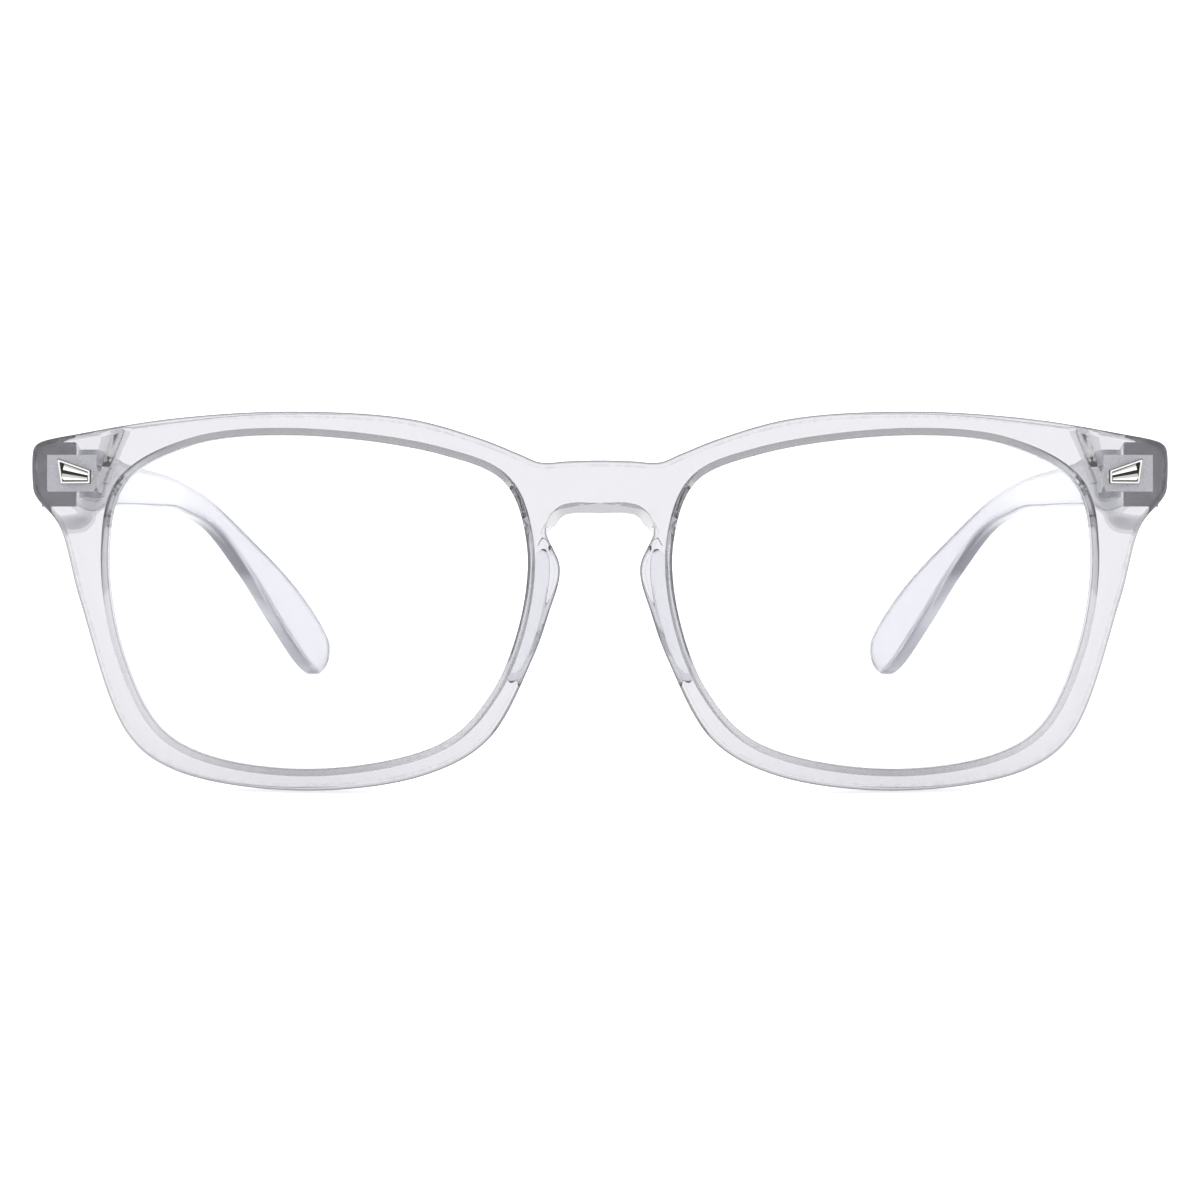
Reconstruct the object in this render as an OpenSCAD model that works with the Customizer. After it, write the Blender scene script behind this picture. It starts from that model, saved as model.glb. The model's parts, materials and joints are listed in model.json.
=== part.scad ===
// Clear full-rim eyeglasses with a keyhole bridge, arms open, standing on a flat surface.
// X runs across the face, with the wearer's left side at +X. The front looks along -Y and the
// temples run back along +Y. Z is up. The origin is the middle of the footprint, on the surface.
// The glasses are drawn upright, with the middle of the front face at Y = 0, and then lean back
// a little, so that they rest on the bottoms of the rims and on the two temple tips.

/* [Front] */
// Width over both end pieces
front_w = 145; // [138:0.5:152]
// Height of the front at the rims
front_h = 47.75; // [44:0.25:52]
// Depth of the rims from front face to back face
rim_t = 4; // [3.6:0.1:5]
// Radius of the front's curve, seen from above
face_r = 330; // [260:10:500]
// Depth of the end pieces' back face behind the middle of the front face
end_back = 12; // [11.6:0.1:13]

/* [Lenses] */
// Thickness of a lens
lens_t = 2; // [1.6:0.1:2.4]
// How far the lens edge reaches into the rim
lens_seat = 0.9; // [0.6:0.05:1.2]
// Play between the lens edge and its groove
lens_play = 0.05; // [0.02:0.01:0.1]

/* [Temples] */
// Thickness of a temple at the hinge
temple_t = 5.2; // [4.4:0.1:5.4]
// Thickness of a temple from its bend to its tip
tip_t = 3.1; // [2.6:0.1:3.6]
// Inward slope of the straight part, in degrees
toe_in = 3.2; // [2:0.2:4]
// Inward slope of the tip, in degrees
tip_in = 22; // [16:1:24]

/* [Hinges] */
// Diameter of a hinge knuckle
knuckle_d = 3; // [2.8:0.1:3.2]
// Height of the three knuckles together
hinge_h = 6.1; // [5.6:0.1:6.6]
// Diameter of the hinge screw's shank
screw_d = 1.4; // [1.2:0.1:1.6]
// Radial play of the screw in the temple's knuckle
screw_play = 0.04; // [0.02:0.01:0.08]

/* [Hidden] */
$fn = 48;
far = 200;
steps = 5; // points of a curve between two of its knots

// --- Curves ---------------------------------------------------------------------------------
// A smooth curve through a list of knots: a centripetal Catmull-Rom spline.
function mix(a, b, ta, tb, t) = a * ((tb - t) / (tb - ta)) + b * ((t - ta) / (tb - ta));
function stride(a, b) = sqrt(norm(b - a));
function spline(p, f) =
  let (t1 = stride(p[0], p[1]), t2 = t1 + stride(p[1], p[2]), t3 = t2 + stride(p[2], p[3]),
       t = t1 + f * (t2 - t1),
       a = mix(p[0], p[1], 0, t1, t), b = mix(p[1], p[2], t1, t2, t), c = mix(p[2], p[3], t2, t3, t))
  mix(mix(a, b, 0, t2, t), mix(b, c, t1, t3, t), t1, t2, t);
function loop(k) = [for (i = [0 : len(k) - 1], j = [0 : steps - 1])
  spline([for (d = [-1 : 2]) k[(i + d + len(k)) % len(k)]], j / steps)];
function run(k) = let (n = len(k), e = concat([2 * k[0] - k[1]], k, [2 * k[n - 1] - k[n - 2]]))
  concat([for (i = [0 : n - 2], j = [0 : steps - 1]) spline([for (d = [0 : 3]) e[i + d]], j / steps)],
         [k[n - 1]]);
// A clockwise outline moved outwards by d along its normals
function grow(pts, d) = [for (i = [0 : len(pts) - 1])
  let (t = pts[(i + 1) % len(pts)] - pts[(i + len(pts) - 1) % len(pts)])
  pts[i] + d * [-t.y, t.x] / norm(t)];
function turned(p) = [for (i = [len(p) - 1 : -1 : 0]) p[i]];

// Points on a circle between two angles, n steps apart
function arc(middle, r, a0, a1, n) = [for (i = [0 : n])
  let (a = a0 + (a1 - a0) * i / n) [middle.x + r * cos(a), middle.y + r * sin(a)]];

// --- Front outlines, seen from the front ----------------------------------------------------
drawn_w = 145;        // the outlines are drawn for this width and height, and scaled
drawn_h = 47.75;
sx = front_w / drawn_w;
sz = front_h / drawn_h;
// The left half, from the middle of the bridge's top clockwise to the middle of the keyhole
brow = [[0, 17.5], [4, 17.4], [7.5, 17.25], [10, 18.25], [15, 20.25], [24, 22.75], [39, 23.75],
  [54, 23], [66, 21.25]];
end_top = arc([71, 18.75], 1.5, 70, 0, 2);
end_low = arc([69.5, 14.75], 3, 0, -40, 2);
rim_side = [[69, 9.5], [66.25, 0], [60, -17], [54, -21.5]];
rim_low = [[38, -24], [22, -22], [14, -17.5]];
nose_flank = [[8.5, -7.5], [6.5, -2], [5, 4]];
keyhole = arc([3.25, 8.6], 3.5, 0, 90, 3);
half_front = concat(brow, end_top, end_low, rim_side, rim_low, nose_flank, keyhole, [[0, 12]]);
// Left lens opening, clockwise from its nose side
lens_hole = [
  [9.25, 7.5], [12, 14.75], [20, 18.25], [39, 20.75], [52, 19.5], [60.5, 14.75], [62.5, 6.5],
  [60.5, -7], [54.5, -17.25], [39, -21.25], [20, -18], [13.5, -11.5], [9.75, -1.5]
];
function scaled(k) = [for (p = k) [p.x * sx, p.y * sz]];
left_half = scaled(half_front);
front_outline = loop(concat(left_half,
  [for (i = [len(left_half) - 2 : -1 : 1]) [-left_half[i].x, left_half[i].y]]));
lens_outline = loop(scaled(lens_hole));

// Depth of the front face behind its middle
function sag(x) = face_r - sqrt(face_r * face_r - x * x);

// --- Hinge places ---------------------------------------------------------------------------
joint_gap = 0.1;      // between end piece and temple when open, a hairline
hinge_x = front_w / 2 - 7.4;
hinge_y = end_back + joint_gap + knuckle_d / 2;
hinge_z = 16.25 * sz;
plate_h = 4.7;        // height of both leaf plates
plate_t = 0.8;        // thickness of both leaf plates
front_plate_x = [hinge_x - 0.9, hinge_x + 5.5];
temple_plate_y = [hinge_y - 0.5, hinge_y + 7.4];
slit = 0.1;           // between neighbouring knuckles
knuckle_h = (hinge_h - 2 * slit) / 3;
leaf_play = 0.03;     // round each leaf plate in its pocket

// --- Temple shape ---------------------------------------------------------------------------
temple_y = end_back + joint_gap;
temple_x = hinge_x + knuckle_d / 2 + 0.2;
turn_y = 80;          // where the inward turn starts
turn_r = 90;          // its radius
// Seen from the side: the top edge from butt to tip, the round tip, and the bottom edge back
temple_top = [[temple_y, 20.25], [45, 19], [84, 17.9], [98.5, 15.5], [114.5, 8.5], [127, 1.5]];
temple_tip = arc([133.25, -8.4], 4, 60, -130, 4);
temple_low = [[121, -4.25], [111, 4], [100, 10.75], [86, 13.25], [60, 13.25], [temple_y, 12]];
side_outline = run(concat(temple_top, temple_tip, temple_low));
// Place and inward angle of the inner face, at a depth y
turn_end = turn_y + turn_r * (sin(tip_in) - sin(toe_in));
function inner_angle(y) = y < turn_y ? toe_in : y > turn_end ? tip_in
  : asin(sin(toe_in) + (y - turn_y) / turn_r);
function inner_x(y) = temple_x - (min(y, turn_y) - temple_y) * tan(toe_in)
  - turn_r * (cos(toe_in) - cos(inner_angle(y))) - max(0, y - turn_end) * tan(tip_in);
function thickness(y) = y > turn_y ? tip_t
  : temple_t + (tip_t - temple_t) * (y - temple_y) / (turn_y - temple_y);
plan_y = concat([temple_y], [for (y = [20 : 10 : turn_y]) y],
  [for (y = [turn_y + 3 : 3 : 140]) y]);
plan_outline = concat(
  [for (y = plan_y) [inner_x(y), y]],
  turned([for (y = plan_y) let (a = inner_angle(y), t = thickness(y))
    [inner_x(y) + t * cos(a), y + (y > temple_y ? t * sin(a) : 0)]]));

// --- Resting place --------------------------------------------------------------------------
// The line from the back edge of the rims' bottoms that just touches the tips from below
rim_foot = [sag(rim_low[0].x * sx) + rim_t, rim_low[0].y * sz];
lean = min([for (p = side_outline) if (p.y < -5) atan2(p.y - rim_foot.y, p.x - rim_foot.x)]);
function leaned(p) = [p.x * cos(lean) + p.y * sin(lean), p.y * cos(lean) - p.x * sin(lean)];
rim_backs = [for (p = front_outline) leaned([sag(p.x) + rim_t, p.y])];
rim_fronts = [for (p = front_outline) leaned([sag(p.x), p.y])];
temple_sides = [for (p = side_outline) leaned(p)];
ground = min([for (p = rim_backs) p.y]);
middle = (min([for (p = rim_fronts) p.x]) + max([for (p = temple_sides) p.x])) / 2;
module placed() {
  translate([0, -middle, -ground]) rotate([-lean, 0, 0]) children();
}
// A left piece as drawn, or its mirror image for the right side
module on_side(side) {
  placed() mirror([side == "right" ? 1 : 0, 0, 0]) children();
}

// --- Helpers --------------------------------------------------------------------------------
// An outline seen from the front, pushed through from y0 to y1
module through(pts, y0, y1) {
  translate([0, y1, 0]) rotate([90, 0, 0]) linear_extrude(y1 - y0) polygon(pts);
}
// Everything behind the front's curve, at a depth d under its front face
module behind(d) {
  translate([0, face_r, -far / 2]) cylinder(r = face_r - d, h = far, $fn = 200);
}
// A slab that follows the front's curve between two depths
module slab(d0, d1) {
  difference() {
    behind(d0);
    behind(d1);
  }
}
module block(x, y, z) {
  translate([x[0], y[0], z[0]]) cube([x[1] - x[0], y[1] - y[0], z[1] - z[0]]);
}
module knuckle(low, high) {
  translate([hinge_x, hinge_y, low]) cylinder(d = knuckle_d, h = high - low);
}
module pin_bore(play) {
  translate([hinge_x, hinge_y, hinge_z - hinge_h]) cylinder(r = screw_d / 2 + play, h = 2 * hinge_h);
}
hinge_low = hinge_z - hinge_h / 2;
hinge_top = hinge_z + hinge_h / 2;
mid_low = hinge_low + knuckle_h + slit;
mid_top = mid_low + knuckle_h;

// --- Trim plaque shape ----------------------------------------------------------------------
plaque_x = hinge_x + 1.8;
plaque_turn = asin(plaque_x / face_r);
plaque_proud = 0.35;
plaque_sunk = 0.45;
pin_d = 1;
pin_l = 3.2;
// Corners from the middle of the plaque: tall at the outer end, low at the inner end
plaque = [[2.2, 1.75], [-2.3, 0.2], [-2.3, -1.55], [1.7, -1.55]];
plaque_floor = [[1.65, 1.15], [-1.95, -0.1], [-1.95, -1.2], [1.35, -1.2]];
module plaque_frame() {
  translate([plaque_x, sag(plaque_x), hinge_z + 0.05]) rotate([0, 0, plaque_turn]) children();
}
module plaque_pins(play) {
  for (x = [-1.3, 0.9]) {
    translate([x, plaque_sunk - 0.05, -0.45]) rotate([-90, 0, 0])
      cylinder(r = pin_d / 2 + play, h = pin_l + play + 0.05);
  }
}

// --- Sub-parts ------------------------------------------------------------------------------
// Rims, bridge and end pieces, cut from one sheet
module front_frame() {
  color("lavender") placed() difference() {
    union() {
      intersection() {
        through(front_outline, -1, end_back);
        slab(0, rim_t);
      }
      for (m = [0, 1]) mirror([m, 0, 0]) end_block();
    }
    for (m = [0, 1]) mirror([m, 0, 0]) {
      through(lens_outline, -1, far / 10);
      intersection() {
        through(grow(lens_outline, lens_seat + lens_play), -1, end_back);
        slab(lens_depth - lens_play, lens_depth + lens_t + lens_play);
      }
      leaf_pocket();
      plaque_frame() {
        through(grow(turned(plaque), 0.02), -1, plaque_sunk + 0.02);
        plaque_pins(0.02);
      }
    }
  }
}
lens_depth = (rim_t - lens_t) / 2;
// The thick corner that carries the hinge. Beside the lens it slopes down to the rim along a
// line that follows the corner of the lens, and below it slopes down to the side of the rim.
module end_block() {
  slope = 1.4;
  line_turn = 20.7;
  line_foot = [60.4 * sx, 19.6 * sz];
  rim_back = sag(line_foot.x) + rim_t - 0.3;
  low_z = [8.2 * sz, 10.9 * sz];
  intersection() {
    through(front_outline, 1, end_back);
    behind(0.5);
    translate([line_foot.x, 0, line_foot.y]) rotate([0, -line_turn, 0])
      translate([0, 0, -20]) linear_extrude(40)
        polygon([[0, rim_back], [slope, end_back], [20, end_back], [20, 2], [0, 2]]);
    rotate([90, 0, 90]) linear_extrude(far)
      polygon([[2, low_z[0]], [rim_back, low_z[0]], [end_back, low_z[1]], [end_back, 30], [2, 30]]);
  }
}
module leaf_pocket() {
  p = leaf_play;
  block([front_plate_x[0] - p, front_plate_x[1] + p], [end_back - plate_t - p, end_back + 1],
        [hinge_z - plate_h / 2 - p, hinge_z + plate_h / 2 + p]);
}

module lens() {
  intersection() {
    through(grow(lens_outline, lens_seat), -1, end_back);
    slab(lens_depth, lens_depth + lens_t);
  }
}

// A rounded fin behind the rim beside the nose. It leans outwards as it goes back, past the
// edge of the lens opening.
module nose_pad() {
  pad_mid = [9.1 * sx, -2 * sz];
  nose_slope = 14;
  pad_section = [
    [-1.9, -1], [-1.9, 0.3], [-0.9, 2], [0.4, 3.9], [1.1, 4.6], [1.7, 4.4], [2, 3.5], [1.9, 1.6],
    [1.6, 0.5], [1.6, -1]
  ];
  intersection() {
    behind(rim_t);
    translate([pad_mid.x, rim_t, pad_mid.y]) rotate([0, -nose_slope, 0]) intersection() {
      translate([0, 0, -9]) linear_extrude(18) polygon(pad_section);
      translate([-10, -5.6, 0]) rotate([0, 90, 0]) cylinder(r = 10.3, h = 20);
    }
  }
}

// Plate in the back of the end piece, with the bottom and top knuckles
module hinge_front_leaf() {
  difference() {
    union() {
      block(front_plate_x, [end_back - plate_t, end_back],
            [hinge_z - plate_h / 2, hinge_z + plate_h / 2]);
      for (z = [[hinge_low, hinge_low + knuckle_h], [hinge_top - knuckle_h, hinge_top]]) {
        knuckle(z[0], z[1]);
        block([front_plate_x[0], hinge_x + 0.6], [end_back, hinge_y],
              [max(z[0], hinge_z - plate_h / 2), min(z[1], hinge_z + plate_h / 2)]);
      }
    }
    pin_bore(0.02);
    translate([hinge_x, hinge_y, hinge_top - head_h]) cylinder(d = head_d + 0.06, h = 1);
  }
}
head_d = 2.3;
head_h = 0.7;

// Plate in the temple's inner face, with the middle knuckle
module hinge_temple_leaf() {
  difference() {
    union() {
      temple_leaf_plate(0);
      knuckle(mid_low, mid_top);
      block([hinge_x, temple_x + plate_t / 2], [hinge_y - 0.4, hinge_y + 0.9], [mid_low, mid_top]);
    }
    pin_bore(screw_play);
  }
}
// The plate lies in the sloping inner face. Its pocket is p wider and opens inwards.
module temple_leaf_plate(p) {
  translate([temple_x, temple_y, 0]) rotate([0, 0, toe_in])
    block([p > 0 ? -1 : 0, plate_t + p],
          [temple_plate_y[0] - temple_y - p, temple_plate_y[1] - temple_y + p],
          [hinge_z - plate_h / 2 - p, hinge_z + plate_h / 2 + p]);
}

module hinge_screw() {
  translate([hinge_x, hinge_y, 0]) difference() {
    union() {
      translate([0, 0, hinge_low + 0.1]) cylinder(d = screw_d, h = hinge_h - 0.2);
      translate([0, 0, hinge_top - head_h]) cylinder(d = head_d, h = head_h);
    }
    translate([-2, -0.2, hinge_top - 0.3]) cube([4, 0.4, 1]);
  }
}

// A small metal trapezoid let into the front of the end piece, with two pins
module trim_plaque() {
  plaque_frame() {
    difference() {
      through(turned(plaque), -plaque_proud, plaque_sunk);
      through(turned(plaque_floor), -plaque_proud - 1, -plaque_proud + 0.25);
    }
    plaque_pins(0);
  }
}

module temple() {
  difference() {
    intersection() {
      rotate([90, 0, 90]) linear_extrude(far) polygon(side_outline);
      translate([0, 0, -far / 2]) linear_extrude(far) polygon(plan_outline);
    }
    temple_leaf_plate(leaf_play);
  }
}

front_frame();
color("aliceblue") on_side("left") lens();  // lens_left
color("aliceblue") on_side("right") lens();  // lens_right
color("lavender") on_side("left") nose_pad();  // nose_pad_left
color("lavender") on_side("right") nose_pad();  // nose_pad_right
color("silver") on_side("left") hinge_front_leaf();  // hinge_front_leaf_left
color("silver") on_side("right") hinge_front_leaf();  // hinge_front_leaf_right
color("gray") on_side("left") hinge_screw();  // hinge_screw_left
color("gray") on_side("right") hinge_screw();  // hinge_screw_right
color("gainsboro") on_side("left") trim_plaque();  // trim_plaque_left
color("gainsboro") on_side("right") trim_plaque();  // trim_plaque_right
color("lavender") on_side("left") temple();  // temple_left
color("lavender") on_side("right") temple();  // temple_right
color("silver") on_side("left") hinge_temple_leaf();  // hinge_temple_leaf_left
color("silver") on_side("right") hinge_temple_leaf();  // hinge_temple_leaf_right
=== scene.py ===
# %% [markdown]
# # Clear plastic glasses
# A pair of full-rim glasses in water-clear plastic. Everything that is seen is two things at
# once: a shape, and a lens that bends what is behind it. So every clear piece here is a smooth,
# closed, evenly spaced grid, because a flat facet or a stray normal that nobody would notice
# on an opaque part shows up as a crack in a clear one.
#
# First the imported model is loaded as a fixed frame.

# %% Load the frame
import json
import math

import bmesh
import bpy
import numpy as np
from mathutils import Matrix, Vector


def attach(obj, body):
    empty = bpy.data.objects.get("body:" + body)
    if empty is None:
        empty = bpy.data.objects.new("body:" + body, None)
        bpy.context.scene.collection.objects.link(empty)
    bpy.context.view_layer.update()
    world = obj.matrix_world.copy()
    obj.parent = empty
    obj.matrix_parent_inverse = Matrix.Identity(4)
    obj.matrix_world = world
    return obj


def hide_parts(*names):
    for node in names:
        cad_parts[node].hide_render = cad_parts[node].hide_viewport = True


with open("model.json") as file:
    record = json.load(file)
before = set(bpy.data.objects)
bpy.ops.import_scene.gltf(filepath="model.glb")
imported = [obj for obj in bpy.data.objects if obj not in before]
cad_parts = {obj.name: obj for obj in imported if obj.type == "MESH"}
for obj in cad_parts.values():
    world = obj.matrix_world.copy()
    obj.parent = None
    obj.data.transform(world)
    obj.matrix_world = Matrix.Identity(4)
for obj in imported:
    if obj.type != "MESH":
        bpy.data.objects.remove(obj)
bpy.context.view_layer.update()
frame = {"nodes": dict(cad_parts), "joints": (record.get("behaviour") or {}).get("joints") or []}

# %% [markdown]
# ## The upright drawing and the leaning object
# The glasses are drawn upright in millimetres: X across the face, Y back along the temples
# with the middle of the front face at 0, and Z up. Standing open on a table they lean back a
# few degrees, on the rims' bottoms and the temple tips. The hinge axis is vertical in the
# drawing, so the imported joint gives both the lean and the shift, and nothing is fitted by eye.

# %% Place drawn points in the frame
MM = 0.001
FACE_R = 330.0       # radius of the front's curve, seen from above
RIM_T = 4.0          # depth of the rims
END_BACK = 12.0      # back face of the end pieces
HINGE = (65.1, 13.6, 16.25)
TEMPLE_X = 66.8      # inner face of a temple at the hinge
TEMPLE_Y = 12.1      # its front end

joint = next(j for j in frame["joints"] if j["name"] == "left_temple_hinge")
lean = math.atan2(joint["axis"][1], joint["axis"][2])
cos_l, sin_l = math.cos(lean), math.sin(lean)
shift_y = joint["pos_m"][1] / MM - (HINGE[1] * cos_l + HINGE[2] * sin_l)
shift_z = joint["pos_m"][2] / MM - (HINGE[2] * cos_l - HINGE[1] * sin_l)


def place(points):
    """Drawn points, in millimetres, as points of the frame in metres."""
    p = np.asarray(points, dtype=float)
    y = p[..., 1] * cos_l + p[..., 2] * sin_l + shift_y
    z = p[..., 2] * cos_l - p[..., 1] * sin_l + shift_z
    return np.stack([p[..., 0], y, z], axis=-1) * MM


print("lean", round(math.degrees(lean), 2), "degrees")

# %% [markdown]
# ## Curves from a few knots
# Outlines cut from sheet are smooth curves with a few places where they turn sharply. A spline
# that passes through each knot, with its speed set by the distance between knots, follows such
# an outline with few points and doesn't overshoot at the tight turns.

# %% Spline and spacing helpers


def spline(knots, u, closed):
    """Points at parameters u on the curve through the knots, where knot i is at u = i."""
    k = np.asarray(knots, dtype=float)
    n = len(k)
    u = np.asarray(u, dtype=float)
    i = np.floor(u).astype(int)
    if closed:
        p = [k[(i + d) % n] for d in (-1, 0, 1, 2)]
    else:
        i = np.clip(i, 0, n - 2)
        ends = np.vstack([2 * k[0] - k[1], k, 2 * k[-1] - k[-2]])
        p = [ends[i + d] for d in (0, 1, 2, 3)]
    step = [np.sqrt(np.linalg.norm(b - a, axis=-1)) for a, b in zip(p, p[1:])]
    t1 = step[0]
    t2 = t1 + step[1]
    t3 = t2 + step[2]
    t = t1 + (u - i) * step[1]

    def mix(a, b, ta, tb):
        f = ((t - ta) / (tb - ta))[..., None]
        return a * (1 - f) + b * f

    a, b, c = mix(p[0], p[1], 0 * t1, t1), mix(p[1], p[2], t1, t2), mix(p[2], p[3], t2, t3)
    return mix(mix(a, b, 0 * t1, t2), mix(b, c, t1, t3), t1, t2)


def spaced(knots, closed, u0, u1, count):
    """Parameters from u0 to u1 that lie at even distances along the curve."""
    dense = np.linspace(u0, u1, 4000)
    at = spline(knots, dense, closed)
    run = np.concatenate([[0], np.cumsum(np.linalg.norm(np.diff(at, axis=0), axis=1))])
    return np.interp(np.linspace(0, run[-1], count), run, dense)


def side_normal(knots, u, closed):
    """Unit normals on the left of the direction of travel."""
    e = 1e-3
    last = len(knots) - 1
    lo, hi = (u - e, u + e) if closed else (np.maximum(u - e, 0), np.minimum(u + e, last))
    d = spline(knots, hi, closed) - spline(knots, lo, closed)
    d /= np.linalg.norm(d, axis=-1, keepdims=True)
    return np.stack([-d[..., 1], d[..., 0]], axis=-1)


def ease(v):
    """0 below 0, 1 above 1, and a smooth step between."""
    v = np.clip(v, 0, 1)
    return v * v * (3 - 2 * v)


# %% [markdown]
# ## Patches
# Each piece is drawn as a few grids of points, called patches, that share their border points
# exactly. Joining them by distance then gives one closed skin, and the count of open edges
# that is printed says whether the skin really closed.
#
# A patch can also say how dark each of its rows or points is drawn, from 0 to 1. This is painted
# shade: the rounded edges of clear plastic read as grey lines, refraction draws them only in part,
# and the finish paints them from this.

# %% Turn patches into one closed mesh
pieces = {}


def skin(name, patches, mirrored=False):
    """One smooth closed object from patches: (rows x columns x 3 array, columns closed or not,
    and, where the patch has painted shade, its darkness on each row or on each point)."""
    points, faces, darkness = [], [], []
    for grid, ring, *marks in patches:
        rows, cols = grid.shape[:2]
        base = len(points)
        points.extend(grid.reshape(-1, 3).tolist())
        marked = np.asarray(marks[0], dtype=float) if marks else np.zeros(rows)
        if marked.ndim == 1:
            marked = np.repeat(marked[:, None], cols, axis=1)
        darkness.extend(marked.reshape(-1).tolist())
        for r in range(rows - 1):
            for c in range(cols if ring else cols - 1):
                d = (c + 1) % cols
                faces.append([base + r * cols + c, base + r * cols + d,
                              base + (r + 1) * cols + d, base + (r + 1) * cols + c])
    mesh = bpy.data.meshes.new(name)
    at = place(points)
    if mirrored:
        at[:, 0] *= -1
    mesh.from_pydata(at.tolist(), [], faces)
    # The "edge" attribute holds the painted shade of each point, which the finish turns grey.
    mesh.attributes.new("edge", "FLOAT", "POINT").data.foreach_set("value", darkness)
    b = bmesh.new()
    b.from_mesh(mesh)
    bmesh.ops.remove_doubles(b, verts=b.verts, dist=2e-6)
    bmesh.ops.dissolve_degenerate(b, edges=b.edges, dist=1e-7)
    bmesh.ops.recalc_face_normals(b, faces=b.faces)
    for f in b.faces:
        f.smooth = True
    opened = sum(1 for e in b.edges if not e.is_manifold)
    b.to_mesh(mesh)
    b.free()
    obj = bpy.data.objects.new(name, mesh)
    bpy.context.scene.collection.objects.link(obj)
    pieces[name] = obj
    print(name, len(mesh.polygons), "faces,", opened, "open edges")
    return obj


def quarter(count):
    """Angles from 0 to a quarter turn."""
    return np.linspace(0, math.pi / 2, count + 1)


def painted_edge_shade(count):
    """Painted shade on each row of a quarter round: none where it meets the face."""
    return ease((np.degrees(quarter(count)) - 30) / 30)


# %% [markdown]
# ## The front's outlines
# The front is milled from flat sheet and then pressed to a gentle curve. Its outline is drawn
# for one half, from the middle of the bridge round the end piece and the rim to the keyhole
# over the nose, and mirrored.

# %% Front and lens outlines


def arc(middle, radius, start, end, steps):
    """Points on a circle between two angles in degrees."""
    turn = [math.radians(start + (end - start) * i / steps) for i in range(steps + 1)]
    return [(middle[0] + radius * math.cos(a), middle[1] + radius * math.sin(a)) for a in turn]


BROW = [(0, 17.5), (4, 17.4), (7.5, 17.25), (10, 18.25), (15, 20.25), (24, 22.75), (39, 23.75),
        (54, 23), (66, 21.25)]
END_TOP = arc((71, 18.75), 1.5, 70, 0, 2)
END_LOW = arc((69.5, 14.75), 3, 0, -40, 2)
RIM_SIDE = [(69, 9.5), (66.25, 0), (60, -17), (54, -21.5)]
RIM_LOW = [(38, -24), (22, -22), (14, -17.5)]
NOSE_FLANK = [(8.5, -7.5), (6.5, -2), (5, 4)]
KEYHOLE = arc((3.25, 8.6), 3.5, 0, 90, 3)
HALF_FRONT = (BROW + END_TOP + END_LOW + RIM_SIDE + RIM_LOW + NOSE_FLANK + KEYHOLE + [(0, 12)])
PINCH = len(HALF_FRONT) - len(KEYHOLE) - 2    # the knot where the nose gap is narrowest
LENS_HOLE = [
    (9.25, 7.5), (12, 14.75), (20, 18.25), (39, 20.75), (52, 19.5), (60.5, 14.75), (62.5, 6.5),
    (60.5, -7), (54.5, -17.25), (39, -21.25), (20, -18), (13.5, -11.5), (9.75, -1.5),
]
mirror_half = [(-x, z) for x, z in HALF_FRONT[-2:0:-1]]
OUTLINE = HALF_FRONT + mirror_half
print("outline knots", len(HALF_FRONT), "lens knots", len(LENS_HOLE))


def sag(x):
    return FACE_R - np.sqrt(FACE_R ** 2 - x ** 2)


# %% [markdown]
# ## The front
# The front could be a flat shape given thickness with Solidify and a Bevel, but those leave
# uneven corners that bend light in odd ways. Instead the half front is treated as a band that
# runs round its lens: for every place on the outline there is a facing place on the lens
# opening. The front face, the rounded outer edge, the back face and the grooved inner wall are
# four patches of that band.
#
# At the end piece the back face drops away to the thick corner that carries the hinge, and at
# the keyhole the edge is cut slanting, so that it sits on the nose.

# %% The back of the front
BLOCK_FOOT = (60.4, 19.6)           # a point on the line where the thick corner begins
BLOCK_TURN = math.radians(20.7)     # that line's lean
BLOCK_RAMP = 3.4                    # width over which the corner grows thick
BLOCK_LOW = 8.4                     # its lower end
BLOCK_LOW_RAMP = 2.6
GREY_DEPTH = 6.0                    # its painted grey shade is strongest this far before its full depth
PLATE_PROUD = 0.03                  # the hinge plates stand this much out of the plastic


def back(x, z):
    """Depth of the back face: the rim's, or the end piece's behind the corner."""
    across = (x - BLOCK_FOOT[0]) * math.cos(BLOCK_TURN) + (z - BLOCK_FOOT[1]) * math.sin(BLOCK_TURN)
    thick = ease(across / BLOCK_RAMP) * ease((z - BLOCK_LOW) / BLOCK_LOW_RAMP)
    rim = sag(x) + RIM_T
    return rim + thick * (END_BACK - PLATE_PROUD - rim)


def corner_shade_share(x, z):
    """How much a place belongs to the thick corner, whose back is painted grey: painted shade."""
    return np.clip((back(x, z) - sag(x) - RIM_T) / (END_BACK - GREY_DEPTH - RIM_T), 0, 1)


# %% The front as a band round each lens
OUTER_POINTS = 430   # round the outline of one half
MIDDLE_POINTS = 14   # down the mirror plane
ACROSS = 20          # rows of a flat face
ROUND_STEPS = 7      # of an outer edge's rounding
LIP_STEPS = 4        # of the lens opening's rounding
EDGE_R = 0.7         # rounding of the outer edges
KEY_R = 0.12         # rounding of the keyhole's edges
LIP_R = 0.22         # rounding of the lens opening
SEAT = 0.95          # depth of the lens groove
SHOULDER = 0.93      # share of that depth at which the groove's walls turn into its bottom
LENS_T = 2.0
SUPPORT = 0.15       # distance of the first row of a flat face from its edge
SUPPORT_MOST = 0.04  # but no more than this share of the face's width
KEY_SLANT = 1.1      # how far the keyhole's edge slants
# Darkness of the painted shade that is drawn on the skin: grey lines for the edges, and shade on
# the end piece
SECOND_LINE = 0.2    # where the rounding runs out into the face
WALL_LINE = 0.3      # where a rounding runs out into the outer wall or the groove begins
LIP_LINE = 0.8       # the lens opening's rounding, beside the outer edges' 1
GROOVE_LINE = 0.5    # the bottom of the lens groove
END_WALL_PAINTED_SHADE = 0.5  # painted shade on the end piece's side wall
KEY_FADE = 0.6       # share that the keyhole's edge loses
CORNER_PAINTED_SHADE = 0.16   # painted shade on the back of the end piece


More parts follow.
